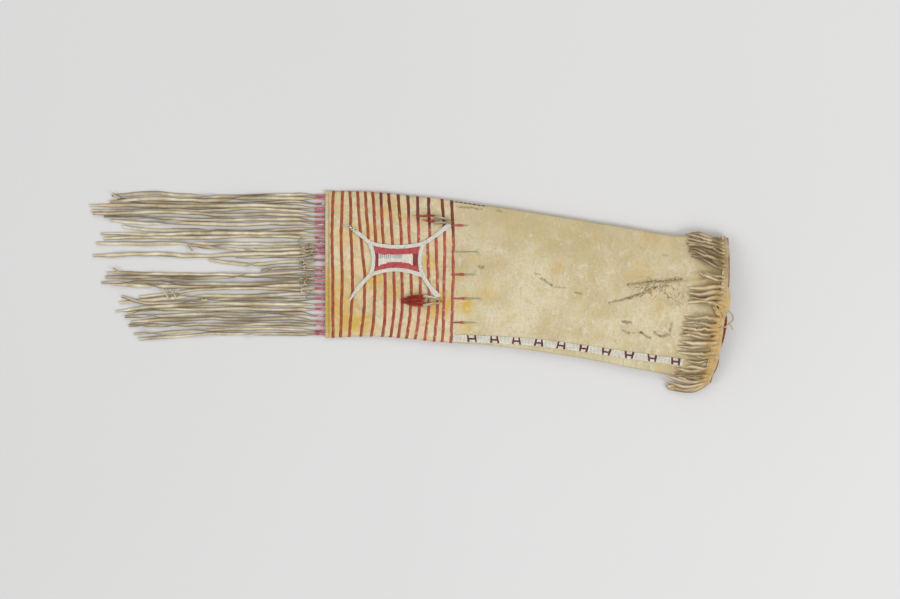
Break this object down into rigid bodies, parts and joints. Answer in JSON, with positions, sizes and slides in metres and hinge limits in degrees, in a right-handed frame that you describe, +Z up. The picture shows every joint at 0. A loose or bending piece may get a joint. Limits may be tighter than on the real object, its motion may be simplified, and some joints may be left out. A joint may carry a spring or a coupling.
{
  "type": "beaded pipe bag",
  "caption": "Long flat hide bag, open at one end, with a cut fringe at both ends, sewn red lines, a bead lane, an applied figure and small tin cone pendants.",
  "frame": {"origin": "on the surface the bag lies on, under the middle of its box", "axes": "+X from the long fringe towards the open mouth, +Z up out of the decorated front"},
  "size_m": [0.7699, 0.2426, 0.033],
  "materials": {
    "hide": "smoke-tanned hide, matt, stained ochre in places",
    "fringe_hide": "matt cut hide thongs",
    "collar_hide": "matt cut hide, ochre at its sewn edge",
    "red_quill": "dyed quillwork, faded, low sheen",
    "wrap_quill": "dyed quill wrapping, low sheen",
    "red_binding": "worn cloth binding",
    "white_beads": "opaque glass seed beads with dark red ones in the figures",
    "red_beads": "opaque red glass seed beads with a pale and grey-blue window",
    "tin": "tarnished tinned sheet",
    "hair": "red-dyed hair"
  },
  "bodies": {
    "root": {"bag_body": "hide", "fringe_panel": "fringe_hide", "quill_wrap_01": "wrap_quill", "quill_wrap_02": "wrap_quill", "quill_wrap_03": "wrap_quill", "quill_wrap_04": "wrap_quill", "quill_wrap_05": "wrap_quill", "quill_wrap_06": "wrap_quill", "quill_wrap_07": "wrap_quill", "quill_wrap_08": "wrap_quill", "quill_wrap_09": "wrap_quill", "quill_wrap_10": "wrap_quill", "quill_wrap_11": "wrap_quill", "quill_wrap_12": "wrap_quill", "quill_wrap_13": "wrap_quill", "quill_wrap_14": "wrap_quill", "quill_wrap_15": "wrap_quill", "quill_wrap_16": "wrap_quill", "quill_wrap_17": "wrap_quill", "quill_wrap_18": "wrap_quill", "quill_wrap_19": "wrap_quill", "quill_wrap_20": "wrap_quill", "quill_wrap_21": "wrap_quill", "quill_wrap_22": "wrap_quill", "quill_wrap_23": "wrap_quill", "quill_wrap_24": "wrap_quill", "quill_wrap_25": "wrap_quill", "quill_wrap_26": "wrap_quill", "quill_wrap_27": "wrap_quill", "quill_wrap_28": "wrap_quill", "quill_wrap_29": "wrap_quill", "quill_wrap_30": "wrap_quill", "quill_wrap_31": "wrap_quill", "quill_line_01": "red_quill", "quill_line_02": "red_quill", "quill_line_03": "red_quill", "quill_line_04": "red_quill", "quill_line_05": "red_quill", "quill_line_06": "red_quill", "quill_line_07": "red_quill", "quill_line_08": "red_quill", "quill_line_09": "red_quill", "quill_line_10": "red_quill", "quill_line_11": "red_quill", "quill_line_12": "red_quill", "quill_line_13": "red_quill", "quill_line_14": "red_quill", "front_collar_fringe": "collar_hide", "back_collar_fringe": "collar_hide", "mouth_edging": "red_binding", "tie_thong": "fringe_hide", "bead_lane": "white_beads", "motif_frame": "white_beads", "motif_field": "red_beads", "tin_cone_01": "tin", "tin_cone_02": "tin", "tin_cone_03": "tin", "tin_cone_04": "tin", "hair_tuft_01": "hair", "hair_tuft_02": "hair"}
  },
  "joints": []
}
